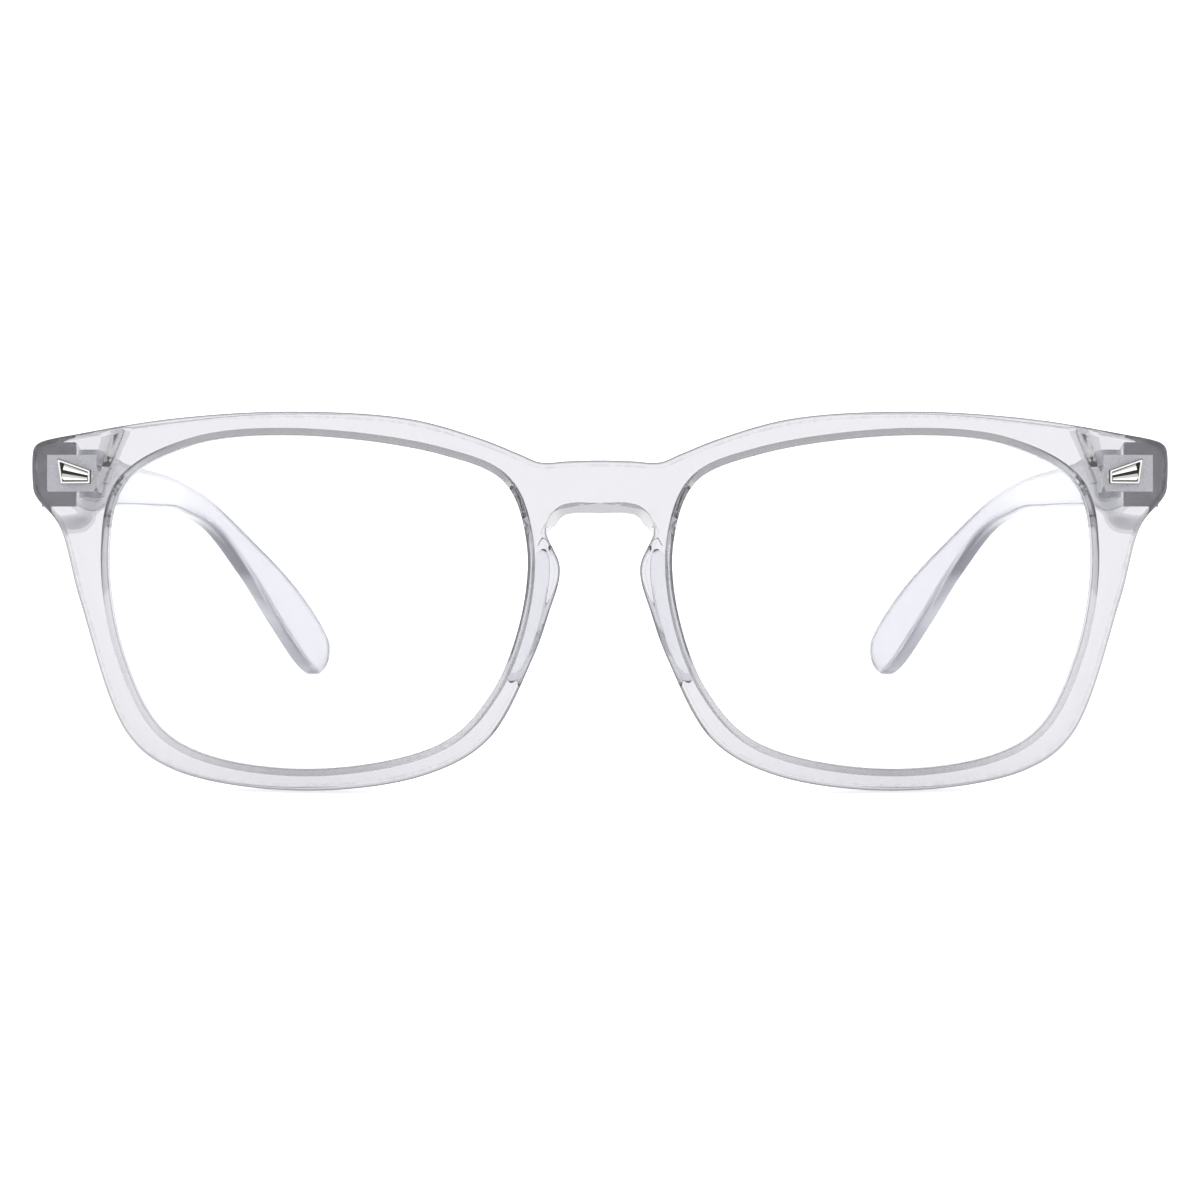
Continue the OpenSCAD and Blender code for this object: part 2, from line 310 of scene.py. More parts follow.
def flat_rows(outer, inner):
    """Rows from one border of a flat face to the other, with a close row beside each border."""
    length = np.linalg.norm(inner - outer, axis=-1)
    rows = []
    for t in np.linspace(0, 1, ACROSS - 1):
        rows.append(np.full_like(length, t))
    near = np.minimum(SUPPORT / length, SUPPORT_MOST)
    rows.insert(1, near)
    rows.insert(-1, 1 - near)
    return [outer + (inner - outer) * t[:, None] for t in rows]


BRIDGE_HALF = 7.4    # half the width of the bridge's sunk middle
BRIDGE_LOW = 10.5    # its lower end
BRIDGE_SUNK = 0.4    # its depth
BRIDGE_EASE, BRIDGE_LOW_EASE = 0.9, 0.8    # widths over which it sinks


def on_front(xz, depth):
    """Points a depth behind the front face, which is a little sunk across the bridge."""
    sunk = (BRIDGE_SUNK * ease((BRIDGE_HALF - abs(xz[:, 0])) / BRIDGE_EASE)
            * ease((xz[:, 1] - BRIDGE_LOW) / BRIDGE_LOW_EASE))
    y = sag(xz[:, 0]) + depth + sunk * np.clip(1 - depth / RIM_T, 0, 1)
    return np.stack([xz[:, 0], y, xz[:, 1]], axis=-1)


def on_back(xz, rise=0.0):
    return np.stack([xz[:, 0], back(xz[:, 0], xz[:, 1]) - rise, xz[:, 1]], axis=-1)


last_knot = len(HALF_FRONT) - 1
u_out = spaced(OUTLINE, True, 0, last_knot, OUTER_POINTS)
outer = spline(OUTLINE, u_out, True)
outer_n = side_normal(OUTLINE, u_out, True)
outer[0, 0] = outer[-1, 0] = 0.0
outer_n[0] = (0, 1)
outer_n[-1] = (0, -1)
# The keyhole's edge slants: its back lies this much further out than its front
keyhole_share = ease((u_out - (PINCH + 0.6)) / 1.2)
slant = (KEY_SLANT * keyhole_share)[:, None]
edge_r = EDGE_R + (KEY_R - EDGE_R) * keyhole_share

half_steps = np.linspace(0, 1, MIDDLE_POINTS + 2)[1:-1]
LENS_MID = np.array([36.0, 0.3])
BRIDGE_LAST = 158.0  # direction from the lens's middle that the last keyhole point faces


def direction(xz):
    """Degrees round the lens's middle, clockwise from the middle of the bridge's top."""
    a = np.degrees(np.arctan2(xz[:, 1] - LENS_MID[1], xz[:, 0] - LENS_MID[0]))
    return np.unwrap(a, period=360)


# Each place on the outline faces the place on the opening in the same direction from the lens's
# middle. In the keyhole that direction runs on evenly, because there it would turn back.
seen = direction(outer)
past = u_out > PINCH
seen[past] = np.interp(u_out[past], [PINCH, last_knot],
                       [seen[~past][-1], BRIDGE_LAST - 360])
bridge = seen[-1] + half_steps * (seen[0] - 360 - seen[-1])
around = np.linspace(0, len(LENS_HOLE), 6001)
turned = direction(spline(LENS_HOLE, around % len(LENS_HOLE), True))
whole_turn = np.concatenate([turned + 360, turned, turned - 360])
whole_u = np.concatenate([around - len(LENS_HOLE), around, around + len(LENS_HOLE)])
u_in = np.interp(-np.concatenate([seen, bridge]), -whole_turn, whole_u)
hole = spline(LENS_HOLE, u_in % len(LENS_HOLE), True)
hole_n = side_normal(LENS_HOLE, u_in % len(LENS_HOLE), True)
print("facing places always move on:", bool(np.all(np.diff(u_in) > 0)))


def with_middle(edge):
    """A border closed along the mirror plane, from its last point back up to its first."""
    z = edge[-1, 1] + half_steps * (edge[0, 1] - edge[-1, 1])
    return np.vstack([edge, np.stack([0 * z, z], axis=-1)])


front_edge = with_middle(outer - outer_n * edge_r[:, None])
back_edge = with_middle(outer + outer_n * (slant - edge_r[:, None]))
front_face = np.stack([on_front(p, 0.0) for p in flat_rows(front_edge, hole + hole_n * LIP_R)])
back_face = np.stack([on_back(p) for p in flat_rows(back_edge, hole + hole_n * LIP_R)])

edge_rows = []
for a in quarter(ROUND_STEPS):
    inset = (edge_r * (1 - math.sin(a)))[:, None]
    edge_rows.append(on_front(outer - outer_n * inset, edge_r * (1 - math.cos(a))))
WALL_AT = (0.02, 0.25, 0.5, 0.75, 0.98)    # rows of the outer wall, from front to back
for t in WALL_AT:
    xz = outer + outer_n * slant * t
    y = on_front(xz, edge_r)[:, 1]
    y = y + (back(xz[:, 0], xz[:, 1]) - edge_r - y) * t
    edge_rows.append(np.stack([xz[:, 0], y, xz[:, 1]], axis=-1))
for a in quarter(ROUND_STEPS)[::-1]:
    inset = (edge_r * (1 - math.sin(a)))[:, None]
    edge_rows.append(on_back(outer + outer_n * (slant - inset), edge_r * (1 - math.cos(a))))

lens_front = (RIM_T - LENS_T) / 2
# Depth into the wall, depth from the face and darkness: painted shade is drawn on the groove's
# bottom and as two lines beside its mouth
groove = [(0.0, lens_front - 0.12, WALL_LINE), (0.0, lens_front - 0.05, 0),
          (SEAT * SHOULDER, lens_front, 0), (SEAT, lens_front + 0.35, GROOVE_LINE),
          (SEAT, lens_front + 1.65, GROOVE_LINE), (SEAT * SHOULDER, lens_front + LENS_T, 0),
          (0.0, lens_front + LENS_T + 0.05, 0), (0.0, lens_front + LENS_T + 0.12, WALL_LINE)]
wall_rows = [on_front(hole + hole_n * LIP_R * (1 - math.sin(a)), LIP_R * (1 - math.cos(a)))
             for a in quarter(LIP_STEPS)]
wall_rows += [on_front(hole + hole_n * g, d) for g, d, dark in groove]
wall_rows += [on_back(hole + hole_n * LIP_R * (1 - math.sin(a)), LIP_R * (1 - math.cos(a)))
              for a in quarter(LIP_STEPS)[::-1]]

# Painted shade lines along the front's roundings, its outer wall and the lens opening.
round_marks, lip_marks = painted_edge_shade(ROUND_STEPS), painted_edge_shade(LIP_STEPS) * LIP_LINE
face_marks = np.zeros(front_face.shape[:2])
face_marks[0, 1:len(u_out) - 1] = round_marks[0] = SECOND_LINE
outer_wall_marks = [WALL_LINE] + [0] * (len(WALL_AT) - 2) + [WALL_LINE]
edge_patch_marks = np.concatenate([round_marks, outer_wall_marks, round_marks[::-1]])
edge_patch_marks = edge_patch_marks[:, None] * (1 - KEY_FADE * keyhole_share)
# The end piece's side wall is painted dark: painted shade
end_wall_shade_share = ease((outer[:, 0] - 68.5) / 1.5) * ease((outer[:, 1] - 9.5) / 2)
edge_patch_marks = np.maximum(edge_patch_marks, END_WALL_PAINTED_SHADE * end_wall_shade_share)
# The back of the thick corner is painted grey: painted shade.
back_painted_shade = CORNER_PAINTED_SHADE * corner_shade_share(back_face[..., 0], back_face[..., 2])
wall_marks = np.concatenate([lip_marks, [dark for g, d, dark in groove], lip_marks[::-1]])
half_patches = [(front_face, True, face_marks), (back_face, True, back_painted_shade),
                (np.stack(edge_rows), False, edge_patch_marks),
                (np.stack(wall_rows), True, wall_marks)]
flip = np.array([-1.0, 1.0, 1.0])
front_patches = half_patches + [(p[0] * flip, *p[1:]) for p in half_patches]
front = skin("clear_front", front_patches)

# %% [markdown]
# ## The lenses
# A lens is a thin shell whose edge is ground to a ridge that snaps into the rim's groove. It
# is drawn as rings that shrink towards its middle, with a slight dome, as a real lens has.

# %% Lenses
LENS_SEAT = 0.88     # how far the ridge reaches into the groove
RIDGE_START = 0.02   # the faces reach this far into the rim
LENS_DOME = 0.8      # the middle stands this far forward
LENS_POINTS = 320    # round the edge
RING_AT = (1, 0.995, 0.95, 0.87, 0.78, 0.68, 0.58, 0.48, 0.38, 0.28, 0.18, 0.09, 0)
lens_u = spaced(LENS_HOLE, True, 0, len(LENS_HOLE), LENS_POINTS + 1)[:-1]
lens_edge = spline(LENS_HOLE, lens_u, True)
lens_n = side_normal(LENS_HOLE, lens_u, True)


def lens_rings(depth):
    rim = lens_edge + lens_n * RIDGE_START
    rings = []
    for s in RING_AT:
        xz = LENS_MID + (rim - LENS_MID) * s
        rings.append(on_front(xz, depth - LENS_DOME * (1 - s * s)))
    return np.stack(rings)


# Depth into the rim and depth from the lens's front face
ridge = [(RIDGE_START, 0.0), (LENS_SEAT * SHOULDER, 0.04), (LENS_SEAT, 0.4), (LENS_SEAT, 1.6),
         (LENS_SEAT * SHOULDER, 1.96), (RIDGE_START, LENS_T)]
ridge_rows = np.stack([on_front(lens_edge + lens_n * g, lens_front + d) for g, d in ridge])
lens_patches = [(lens_rings(lens_front), True), (ridge_rows, True),
                (lens_rings(lens_front + LENS_T), True)]
for side, mirrored in (("left", False), ("right", True)):
    skin("clear_lens_" + side, lens_patches, mirrored)

# %% [markdown]
# ## The temples
# A temple is cut from the same sheet as the front, seen from the side, and then bent inwards
# behind the ear. So it is drawn the same way: an outline seen from the side, two flat faces
# with rounded edges, and a rule that says where the inner face lies at each depth.

# %% Temple outline and bend
TEMPLE_TOP = [(TEMPLE_Y, 20.25), (45, 19), (84, 17.9), (98.5, 15.5), (114.5, 8.5), (127, 1.5)]
TEMPLE_TIP = arc((133.25, -8.4), 4, 60, -130, 4)
TEMPLE_LOW = [(121, -4.25), (111, 4), (100, 10.75), (86, 13.25), (60, 13.25), (TEMPLE_Y, 12)]
TEMPLE_SIDE = TEMPLE_TOP + TEMPLE_TIP + TEMPLE_LOW
TIP_U = len(TEMPLE_TOP) + 2   # the middle of the round tip
TEMPLE_T, TIP_T = 5.2, 3.1    # thickness at the hinge and from the bend on
TOE, TIP_TURN = math.radians(3.2), math.radians(22)    # inward slopes before and after the bend
TURN_Y, TURN_R = 80.0, 90.0   # where the bend starts, and its radius
TURN_END = TURN_Y + TURN_R * (math.sin(TIP_TURN) - math.sin(TOE))
TURN_EASE = 6.0      # the bend starts and ends this much further out, gently
TEMPLE_EDGE = 1.0    # rounding of a temple's edges
BUTT_EDGE = 0.2      # rounding where it meets the end piece


bend_y = np.linspace(TEMPLE_Y, 140, 1200)
bend_a = TOE + (TIP_TURN - TOE) * ease((bend_y - TURN_Y + TURN_EASE)
                                       / (TURN_END - TURN_Y + 2 * TURN_EASE))
bend_step = np.tan((bend_a[1:] + bend_a[:-1]) / 2) * np.diff(bend_y)
bend_x = TEMPLE_X + PLATE_PROUD - np.concatenate([[0], np.cumsum(bend_step)])


def inner_angle(y):
    return np.interp(y, bend_y, bend_a)


def inner_x(y):
    return np.interp(y, bend_y, bend_x)


def thickness(y):
    f = ease((y - TEMPLE_Y) / (TURN_Y + 10 - TEMPLE_Y))
    return TEMPLE_T + (TIP_T - TEMPLE_T) * f - PLATE_PROUD


def on_temple(yz, w):
    """A point of the side view, w millimetres out from the inner face."""
    y, z = yz[:, 0], yz[:, 1]
    a = inner_angle(y)
    slide = np.clip((y - TEMPLE_Y) / 8, 0, 1)
    return np.stack([inner_x(y) + w * np.cos(a), y + w * np.sin(a) * slide, z], axis=-1)


# %% The temple as a plate with round edges
LENGTH_POINTS = 230
HEIGHT_ROWS = 12
u_top = spaced(TEMPLE_SIDE, False, 0, TIP_U, LENGTH_POINTS)
u_low = spaced(TEMPLE_SIDE, False, len(TEMPLE_SIDE) - 1, TIP_U, LENGTH_POINTS)
top = spline(TEMPLE_SIDE, u_top, False)
low = spline(TEMPLE_SIDE, u_low, False)
top_n = side_normal(TEMPLE_SIDE, u_top, False)
low_n = side_normal(TEMPLE_SIDE, u_low, False)
tip_n = (top_n[-1] + low_n[-1]) / 2
top_n[-1] = low_n[-1] = tip_n / np.linalg.norm(tip_n)
corner_top, corner_low = np.array([-1.0, 1.0]), np.array([-1.0, -1.0])
top_n[0], low_n[0] = corner_top, corner_low
step = np.linspace(0, 1, HEIGHT_ROWS)[1:-1]
butt = np.stack([np.full_like(step, TEMPLE_Y), top[0, 1] + (low[0, 1] - top[0, 1]) * step],
                axis=-1)
butt_n = np.tile([-1.0, 0.0], (len(step), 1))
ring = np.vstack([top[::-1], butt, low[:-1]])
ring_n = np.vstack([top_n[::-1], butt_n, low_n[:-1]])


def edge_radius(y):
    return BUTT_EDGE + (TEMPLE_EDGE - BUTT_EDGE) * ease((y - TEMPLE_Y) / 9)


ring_r = edge_radius(ring[:, 0])
edge_rows = []
for a in quarter(ROUND_STEPS):
    inset = (ring_r * (1 - math.sin(a)))[:, None]
    edge_rows.append(on_temple(ring - ring_n * inset, ring_r * (1 - math.cos(a))))
for a in quarter(ROUND_STEPS)[::-1]:
    at = ring - ring_n * (ring_r * (1 - math.sin(a)))[:, None]
    edge_rows.append(on_temple(at, thickness(at[:, 0]) - ring_r * (1 - math.cos(a))))
inner_top = top - top_n * edge_radius(top[:, 0])[:, None]
inner_low = low - low_n * edge_radius(low[:, 0])[:, None]
inner_ring = ring - ring_n * ring_r[:, None]
ladder = np.stack([inner_top + (inner_low - inner_top) * t
                   for t in np.linspace(0, 1, HEIGHT_ROWS)])
ladder[1:-1, 0] = inner_ring[LENGTH_POINTS:LENGTH_POINTS + len(step)]
inner_side = np.stack([on_temple(row, np.zeros(len(row))) for row in ladder])
outer_side = np.stack([on_temple(row, thickness(row[:, 0])) for row in ladder])
# Painted shade: the underside is painted a soft grey band, darkest in the bend and near the tip,
# the top edge only a fine painted line, and the butt hardly at all
TOP_PAINTED_SHADE, UNDER_PAINTED_SHADE, BUTT_PAINTED_SHADE = 0.15, 0.4, 0.1
BEND_PAINTED_SHADE, TIP_PAINTED_SHADE = 0.55, 0.3    # more painted shade on the underside at these two places
bend_share = ease((ring[:, 0] - 92) / 10) * (1 - ease((ring[:, 0] - 110) / 3))
tip_share = ease((ring[:, 0] - 119) / 4) * (1 - ease((ring[:, 0] - 128) / 6))
underside_shade = UNDER_PAINTED_SHADE + BEND_PAINTED_SHADE * bend_share + TIP_PAINTED_SHADE * tip_share
along_ring = np.where(np.arange(len(ring)) < LENGTH_POINTS, TOP_PAINTED_SHADE, underside_shade)
along_ring[LENGTH_POINTS:LENGTH_POINTS + len(step)] = BUTT_PAINTED_SHADE
round_marks = painted_edge_shade(ROUND_STEPS)
temple_painted_shade = np.concatenate([round_marks, round_marks[::-1]])[:, None] * along_ring[None, :]
temple_patches = [(np.stack(edge_rows), True, temple_painted_shade), (inner_side, False),
                  (outer_side, False)]
for side, mirrored in (("left", False), ("right", True)):
    skin("clear_temple_" + side, temple_patches, mirrored)

# %% [markdown]
# ## The nose pads
# A pad is a small fin glued behind the rim, round at both ends. Its section is a rounded
# wedge; the section shrinks towards both ends as the pad's round back does.

# %% Nose pads
PAD_MID = (9.1, -2.0)
PAD_TURN = math.radians(14)
PAD_HALF = 8.7       # half its length
PAD_GAP = 0.02       # the glue line behind the rim
PAD_ROWS = 33
# The section: across the pad, and back from the rim
PAD_SECTION = [(-1.9, 0), (-1.8, 0.6), (-0.9, 2.2), (0.4, 3.9), (1.1, 4.6), (1.7, 4.4), (2, 3.5),
               (1.9, 1.6), (1.6, 0)]
pad_u = spaced(PAD_SECTION, False, 0, len(PAD_SECTION) - 1, 41)
pad_line = spline(PAD_SECTION, pad_u, False)
pad_base = pad_line[-1] + (pad_line[0] - pad_line[-1]) * np.linspace(0, 1, 9)[1:-1, None]
pad_ring = np.vstack([pad_line, pad_base])
pad_rows = []
for s in np.sin(np.linspace(-math.pi / 2, math.pi / 2, PAD_ROWS)):
    round_end = math.sqrt(max(0.0, 1 - s * s))
    across = pad_ring[:, 0] * round_end
    along = s * PAD_HALF
    x = PAD_MID[0] + across * math.cos(PAD_TURN) - along * math.sin(PAD_TURN)
    z = PAD_MID[1] + across * math.sin(PAD_TURN) + along * math.cos(PAD_TURN)
    out = np.maximum(pad_ring[:, 1], 0) * round_end
    pad_rows.append(np.stack([x, sag(x) + RIM_T + PAD_GAP + out, z], axis=-1))
for side, mirrored in (("left", False), ("right", True)):
    skin("nose_pad_block_" + side, [(np.stack(pad_rows), True)], mirrored)

# %% [markdown]
# ## The trim plaques
# Each corner carries a small bright plate, let into the plastic with two pins. A raised border
# frames a sunk floor on which thin ridges fan out towards the tall end. The ridges repeat by a
# rule, so Geometry Nodes make them: change the count or the spread and the fan redraws itself.

# %% Plaque body
PLAQUE = [(2.2, 1.75), (-2.3, 0.2), (-2.3, -1.55), (1.7, -1.55)]
PLAQUE_X, PLAQUE_Z = 66.9, 16.3
PLAQUE_PROUD, PLAQUE_SUNK = 0.35, 0.45    # it stands out this far and is let in this far
PLAQUE_FLOOR = 0.2                        # depth of its sunk floor
PIN_R, PIN_END = 0.5, 3.2
PIN_AT, PIN_Z = (-1.3, 0.9), -0.45
PIN_POINTS = 24
plaque_turn = math.asin(PLAQUE_X / FACE_R)


def rounded(corners, inset, radius, per=5):
    """The outline moved inwards, with each corner replaced by a small arc."""
    c = np.asarray(corners, dtype=float)
    run = np.roll(c, -1, axis=0) - c
    run /= np.linalg.norm(run, axis=1, keepdims=True)
    middle = c.mean(axis=0)
    inward = np.stack([-run[:, 1], run[:, 0]], axis=1)
    if ((middle - c[0]) * inward[0]).sum() < 0:
        inward *= -1
    out = []
    for i in range(len(c)):
        a, b = run[i - 1], run[i]
        half = (inward[i - 1] + inward[i])
        half /= np.linalg.norm(half)
        reach = 1 / (half * inward[i]).sum()
        centre = c[i] + half * reach * (inset + radius)
        for t in np.linspace(0, 1, per):
            n = -(inward[i - 1] * (1 - t) + inward[i] * t)
            out.append(centre + radius * n / np.linalg.norm(n))
    return np.array(out)


def on_plaque(xz, depth):
    """Plaque points turned to lie on the front's curve; depth runs back from its face."""
    y = np.full(len(xz), float(depth))
    x = PLAQUE_X + xz[:, 0] * math.cos(plaque_turn) - y * math.sin(plaque_turn)
    deep = sag(PLAQUE_X) + xz[:, 0] * math.sin(plaque_turn) + y * math.cos(plaque_turn)
    return np.stack([x, deep, xz[:, 1] + PLAQUE_Z], axis=-1)


plaque_mid = np.array([[-0.1, -0.4]])
floor_depth = -PLAQUE_PROUD + PLAQUE_FLOOR
# inset, corner radius, depth and darkness: painted shade on the grooves and the bevel
PLAQUE_PROFILE = [
    (0, 0.14, PLAQUE_SUNK, 0), (0, 0.14, -PLAQUE_PROUD + 0.12, 1),
    (0.05, 0.13, -PLAQUE_PROUD + 0.03, 1), (0.1, 0.12, -PLAQUE_PROUD, 0),
    (0.28, 0.1, -PLAQUE_PROUD, 0), (0.32, 0.09, -PLAQUE_PROUD + 0.03, 1),
    (0.36, 0.08, floor_depth, 1),
]
plaque_rows = [on_plaque(rounded(PLAQUE, inset, radius), depth)
               for inset, radius, depth, dark in PLAQUE_PROFILE]
count = len(plaque_rows[0])
plaque_rows.insert(0, np.repeat(on_plaque(plaque_mid, PLAQUE_SUNK), count, axis=0))
plaque_rows.append(np.repeat(on_plaque(plaque_mid, floor_depth), count, axis=0))
# The grooves and the bevel are painted dark: painted shade.
plaque_painted_shade = [0] + [dark for inset, radius, depth, dark in PLAQUE_PROFILE] + [1]
plaque_patches = [(np.stack(plaque_rows), True, plaque_painted_shade)]
turn = np.linspace(0, 2 * math.pi, PIN_POINTS + 1)[:-1]
for x in PIN_AT:
    rows = []
    for radius, depth in ((0, PLAQUE_SUNK + 0.01), (PIN_R, PLAQUE_SUNK + 0.01),
                          (PIN_R, PIN_END - 0.1), (PIN_R - 0.1, PIN_END), (0, PIN_END)):
        circle = np.stack([x + radius * np.cos(turn), PIN_Z + radius * np.sin(turn)], axis=-1)
        rows.append(on_plaque(circle, depth))
    plaque_patches.append((np.stack(rows), True))

# %% Ridges that fan out, made by Geometry Nodes


def add(tree, kind, settings=None, numbered=None, **inputs):
    """Adds a node, sets its properties, and sets or links its inputs by number or name."""
    made = tree.nodes.new(kind)
    for key, value in (settings or {}).items():
        setattr(made, key, value)
    named = {key.replace("_", " "): value for key, value in inputs.items()}
    for key, value in {**(numbered or {}), **named}.items():
        if isinstance(value, bpy.types.NodeSocket):
            tree.links.new(value, made.inputs[key])
        else:
            made.inputs[key].default_value = value
    return made


FAN = {"Count": 2, "Length": 3.4, "Start": 3.4, "Lean": 0.19, "Spread": 0.2, "Thin": 0.2,
       "Thick": 0.45}
fan = bpy.data.node_groups.new("ridge_fan", "GeometryNodeTree")
for name, value in FAN.items():
    kind = "NodeSocketInt" if isinstance(value, int) else "NodeSocketFloat"
    fan.interface.new_socket(name, in_out="INPUT", socket_type=kind).default_value = value
fan.interface.new_socket("Finish", in_out="INPUT", socket_type="NodeSocketMaterial")
fan.interface.new_socket("Geometry", in_out="OUTPUT", socket_type="NodeSocketGeometry")
given = add(fan, "NodeGroupInput").outputs
spots = add(fan, "GeometryNodeMeshLine", Count=given["Count"], Offset=(0, 0, 0))
cone = add(fan, "GeometryNodeMeshCone", Vertices=4, Radius_Top=given["Thick"],
           Radius_Bottom=given["Thin"], Depth=given["Length"])
outwards = add(fan, "ShaderNodeCombineXYZ", Z=given["Start"])
moved = add(fan, "GeometryNodeTransform", Geometry=cone.outputs["Mesh"],
            Translation=outwards.outputs["Vector"])
index = add(fan, "GeometryNodeInputIndex").outputs[0]
last = add(fan, "ShaderNodeMath", {"operation": "SUBTRACT"}, {0: given["Count"], 1: 1.0})
share = add(fan, "ShaderNodeMath", {"operation": "DIVIDE"}, {0: index, 1: last.outputs[0]})
middle = add(fan, "ShaderNodeMath", {"operation": "SUBTRACT"}, {0: share.outputs[0], 1: 0.5})
angle = add(fan, "ShaderNodeMath", {"operation": "MULTIPLY_ADD"},
            {0: middle.outputs[0], 1: given["Spread"], 2: given["Lean"]})
# A cone stands along Z on its thin end; a quarter turn about Y lays it down along X
laid = add(fan, "ShaderNodeMath", {"operation": "SUBTRACT"},
           {0: math.pi / 2, 1: angle.outputs[0]})
tilt = add(fan, "ShaderNodeCombineXYZ", Y=laid.outputs[0])
ridges = add(fan, "GeometryNodeInstanceOnPoints", Points=spots.outputs["Mesh"],
             Instance=moved.outputs["Geometry"], Rotation=tilt.outputs["Vector"])
real = add(fan, "GeometryNodeRealizeInstances", Geometry=ridges.outputs["Instances"])
dressed = add(fan, "GeometryNodeSetMaterial", Geometry=real.outputs["Geometry"],
              Material=given["Finish"])
add(fan, "NodeGroupOutput", Geometry=dressed.outputs["Geometry"])


def grow_ridges(sizes, metal):
    """Ridges as a plain mesh, in millimetres, with the point where they would meet at 0."""
    holder = bpy.data.objects.new("ridge_holder", bpy.data.meshes.new("ridge_holder"))
    bpy.context.scene.collection.objects.link(holder)
    made = holder.modifiers.new("fan", "NODES")
    made.node_group = fan
    for item in fan.interface.items_tree:
        if item.in_out == "INPUT" and item.name in sizes:
            made[item.identifier] = sizes[item.name]
        elif item.in_out == "INPUT" and item.name == "Finish":
            made[item.identifier] = metal
    graph = bpy.context.evaluated_depsgraph_get()
    plain = bpy.data.meshes.new_from_object(holder.evaluated_get(graph))
    holder.modifiers.remove(made)
    bpy.data.objects.remove(holder)
    return plain


# %% [markdown]
# ## Finishes
# Colours are written as sRGB hex values and turned to linear by one function.

# %% Material helpers


def linear(code):
    """An sRGB hex colour as linear RGBA."""
    parts = [int(code[i:i + 2], 16) / 255 for i in (1, 3, 5)]
    return tuple(c / 12.92 if c <= 0.04045 else ((c + 0.055) / 1.055) ** 2.4
                 for c in parts) + (1.0,)


def new_material(name):
    made = bpy.data.materials.new(name)
    made.use_nodes = True
    made.node_tree.nodes.clear()
    return made, made.node_tree


# Plastic that clouds does so over this stretch behind the front
CLEAR_FROM_Y, CLOUDY_FROM_Y = place([(0, TEMPLE_Y, 16), (0, TEMPLE_Y + 30, 16)])[:, 1].tolist()
CLEAREST = 0.97


def uneven_gloss(tree, scale, low, high):
    """Roughness that varies softly over the object."""
    where = add(tree, "ShaderNodeTexCoord")
    noise = add(tree, "ShaderNodeTexNoise", Vector=where.outputs["Object"], Scale=scale, Detail=2.0)
    gloss = add(tree, "ShaderNodeMapRange", Value=noise.outputs["Fac"], To_Min=low, To_Max=high)
    return gloss.outputs["Result"]


def colour_with_painted_shade(tree, body, painted_shade_colour):
    """The body's colour, turning to the painted shade colour where the skin carries painted shade.
    """
    mark = add(tree, "ShaderNodeAttribute", {"attribute_name": "edge"})
    return add(tree, "ShaderNodeMix", {"data_type": "RGBA"},
               {0: mark.outputs["Fac"], 6: linear(body), 7: linear(painted_shade_colour)}).outputs[2]


def finish(name, scale, low, high, painted_shade_colour=None, body="#ffffff", cloudy=None, **values):
    """A finish with uneven gloss. With a painted shade colour, the skin's painted shade turns to
    it.
    With a cloudy value, the clearness falls to it a little way behind the front."""
    made, tree = new_material(name)
    if cloudy is not None:
        where = add(tree, "ShaderNodeTexCoord")
        split = add(tree, "ShaderNodeSeparateXYZ", Vector=where.outputs["Object"])
        clear = add(tree, "ShaderNodeMapRange", {"interpolation_type": "SMOOTHSTEP"},
                    Value=split.outputs["Y"], From_Min=CLEAR_FROM_Y, From_Max=CLOUDY_FROM_Y,
                    To_Min=CLEAREST, To_Max=cloudy)
        values["Transmission_Weight"] = clear.outputs["Result"]
    colour = colour_with_painted_shade(tree, body, painted_shade_colour) if painted_shade_colour else linear(body)
    shader = add(tree, "ShaderNodeBsdfPrincipled", Base_Color=colour,
                 Roughness=uneven_gloss(tree, scale, low, high), **values)
    add(tree, "ShaderNodeOutputMaterial", Surface=shader.outputs["BSDF"])
    return made


# %% [markdown]
# Acetate sheet is polished in a tumbler, so its gloss is a little uneven. Light that enters a
# rounded edge leaves sideways, and the edge reads as a thin grey line. Refraction draws some of
# that by itself, and the rest is painted shade from the "edge" attribute that each skin carries,
# which also paints the grey on the end pieces, the temples' undersides and the plaques' grooves.
# The temples are cloudier than the front. The pads and the lenses should hardly bend what is
# behind them, so their IOR is set lower than such plastics really have.

# %% Finishes
# The painted shade colours are the grey painted on the edges, end pieces, temples' undersides and
# plaques' grooves.
acetate = finish("polished_clear_acetate", 600.0, 0.01, 0.03, body="#c9c9cd", painted_shade_colour="#2c2c34",
                 IOR=1.48, Transmission_Weight=0.94)
temple_acetate = finish("tumbled_clear_acetate", 600.0, 0.06, 0.14, body="#d9d9de",
                        painted_shade_colour="#6e6e78", cloudy=0.66, IOR=1.46)
pad_acetate = finish("soft_clear_pad", 600.0, 0.02, 0.04, body="#f4f4f8", IOR=1.1,
                     Transmission_Weight=1.0)
lens_mat = finish("coated_clear_lens", 60.0, 0.0, 0.01, body="#fbfcff", IOR=1.35,
                  Transmission_Weight=1.0)
nickel_silver = finish("plated_nickel_silver", 2500.0, 0.2, 0.4, body="#dcdce0", Metallic=1.0)
screw_steel = finish("polished_screw_steel", 2500.0, 0.12, 0.24, body="#b4b4b8", Metallic=1.0)
trim_plate = finish("bright_plated_trim", 2500.0, 0.07, 0.13, body="#e6e6e4", painted_shade_colour="#34342f",
                    Metallic=1.0)


def finish_with(obj, made):
    obj.data.materials.clear()
    obj.data.materials.append(made)


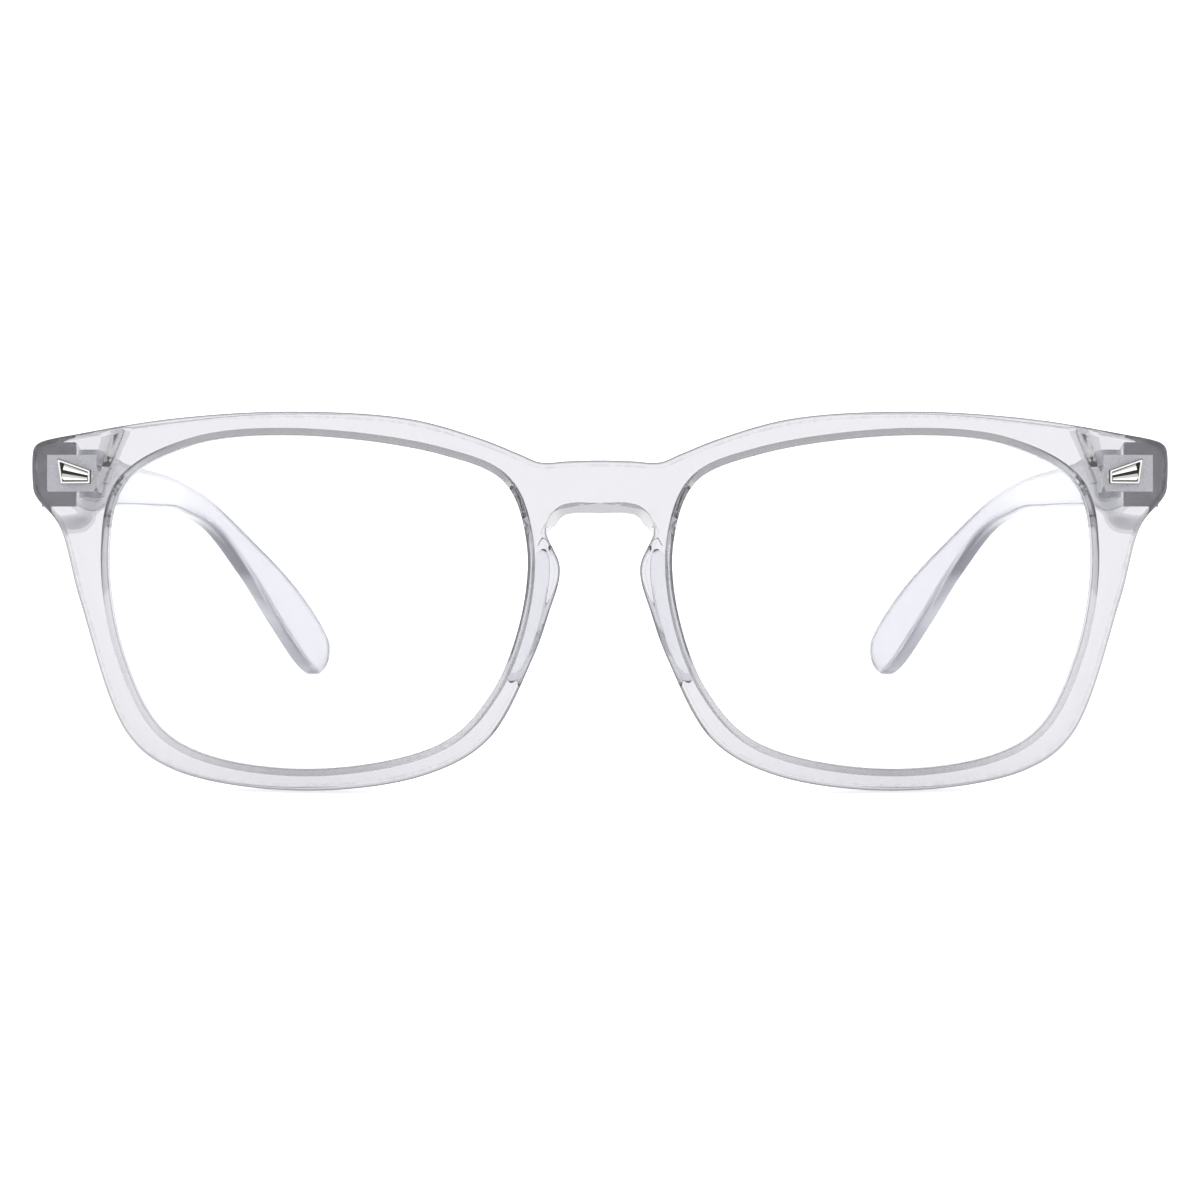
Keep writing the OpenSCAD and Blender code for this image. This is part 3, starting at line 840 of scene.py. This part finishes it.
# %% Plaques with their ridges
FAN_ROOT = (-5.2, -1.25)      # where the lines of the ridges would meet
RIDGE_FLAT = 0.5              # height of a ridge for its width
ridge_mesh = grow_ridges(FAN, trim_plate)
ridge_at = np.array([v.co[:] for v in ridge_mesh.vertices])
ridge_at[:, 0] += FAN_ROOT[0]
ridge_at[:, 1] *= RIDGE_FLAT
ridge_at[:, 2] += FAN_ROOT[1]
print("ridges run from x", ridge_at[:, 0].min().round(2), "to", ridge_at[:, 0].max().round(2),
      "and z", ridge_at[:, 2].min().round(2), "to", ridge_at[:, 2].max().round(2))
for side, mirrored in (("left", False), ("right", True)):
    obj = skin("ridged_plaque_" + side, plaque_patches, mirrored)
    drawn = on_plaque(ridge_at[:, [0, 2]], 0.0)
    drawn[:, 1] += floor_depth + ridge_at[:, 1]
    at = place(drawn)
    if mirrored:
        at[:, 0] *= -1
    b = bmesh.new()
    b.from_mesh(obj.data)
    corner = [b.verts.new(v) for v in at.tolist()]
    for f in ridge_mesh.polygons:
        b.faces.new([corner[i] for i in f.vertices])
    bmesh.ops.recalc_face_normals(b, faces=b.faces)
    for f in b.faces:
        f.smooth = False
    b.to_mesh(obj.data)
    b.free()
print("ridges on each plaque", FAN["Count"], "with", len(ridge_mesh.polygons), "faces")

# %% Dress the pieces and the CAD nodes
for name, obj in pieces.items():
    kind = acetate
    if "lens" in name:
        kind = lens_mat
    elif "pad" in name:
        kind = pad_acetate
    elif "plaque" in name:
        kind = trim_plate
    elif "temple" in name:
        kind = temple_acetate
    finish_with(obj, kind)
for node, obj in frame["nodes"].items():
    if "leaf" in node:
        finish_with(obj, nickel_silver)
    elif "screw" in node:
        finish_with(obj, screw_steel)
    elif "plaque" in node:
        finish_with(obj, trim_plate)

# %% Ride and replace
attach(front, "front")
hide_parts("front_frame")
for side in ("left", "right"):
    for piece, node, body, slot in (
            ("clear_lens_", "lens_", "front", "clear_lens"),
            ("nose_pad_block_", "nose_pad_", "front", "crystal_plastic"),
            ("ridged_plaque_", "trim_plaque_", "front", "trim_metal"),
            ("clear_temple_", "temple_", side + "_temple", "crystal_plastic")):
        obj = pieces[piece + side]
        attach(obj, body)
        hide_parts(node + side)

# %% [markdown]
# ## Studio
# Clear things are shown bright-field: everything behind them is white, and they are seen by what
# they bend. The surround lights them a little brighter than white from low down and a little
# darker from above, which the upper edges pick up as grey. Seen directly it is never darker
# than white.

# %% Floor, surround and camera
bpy.ops.mesh.primitive_plane_add(size=6, location=(0, 0, 0))
floor = bpy.context.object
floor.name = "studio_floor"
paper, tree = new_material("backlit_white_paper")
shader = add(tree, "ShaderNodeBsdfPrincipled", Base_Color=linear("#ffffff"), Roughness=0.9,
             Emission_Color=linear("#ffffff"), Emission_Strength=0.62)
add(tree, "ShaderNodeOutputMaterial", Surface=shader.outputs["BSDF"])
finish_with(floor, paper)

world = bpy.data.worlds.new("studio")
bpy.context.scene.world = world
world.use_nodes = True
tree = world.node_tree
tree.nodes.clear()
where = add(tree, "ShaderNodeTexCoord")
split = add(tree, "ShaderNodeSeparateXYZ", Vector=where.outputs["Generated"])
height = add(tree, "ShaderNodeMapRange", {"interpolation_type": "SMOOTHSTEP"},
             Value=split.outputs["Z"], From_Min=0.4, From_Max=0.7, To_Min=1.2, To_Max=0.8)
path = add(tree, "ShaderNodeLightPath")
seen = add(tree, "ShaderNodeMath", {"operation": "MAXIMUM"},
           {0: height.outputs["Result"], 1: path.outputs["Is Camera Ray"]})
sky = add(tree, "ShaderNodeBackground", Color=linear("#ffffff"), Strength=seen.outputs[0])
add(tree, "ShaderNodeOutputWorld", Surface=sky.outputs["Background"])

VIEW_DISTANCE = 393.0    # to the middle of the front's face
VIEW_WIDTH = 150.0   # of the front's plane that the picture takes in
camera_data = bpy.data.cameras.new("camera")
camera = bpy.data.objects.new("camera", camera_data)
bpy.context.scene.collection.objects.link(camera)
camera.location = place([(0, -VIEW_DISTANCE, 0)])[0].tolist()
aim = Vector(place([(0, 0, 0)])[0].tolist()) - camera.location
camera.rotation_euler = aim.to_track_quat("-Z", "Y").to_euler()
camera_data.angle = 2 * math.atan(VIEW_WIDTH / 2 / VIEW_DISTANCE)
camera_data.clip_start = 0.01
bpy.context.scene.camera = camera
bpy.context.scene.view_settings.view_transform = "Standard"
bpy.context.scene.cycles.transmission_bounces = 24
bpy.context.scene.cycles.max_bounces = 32
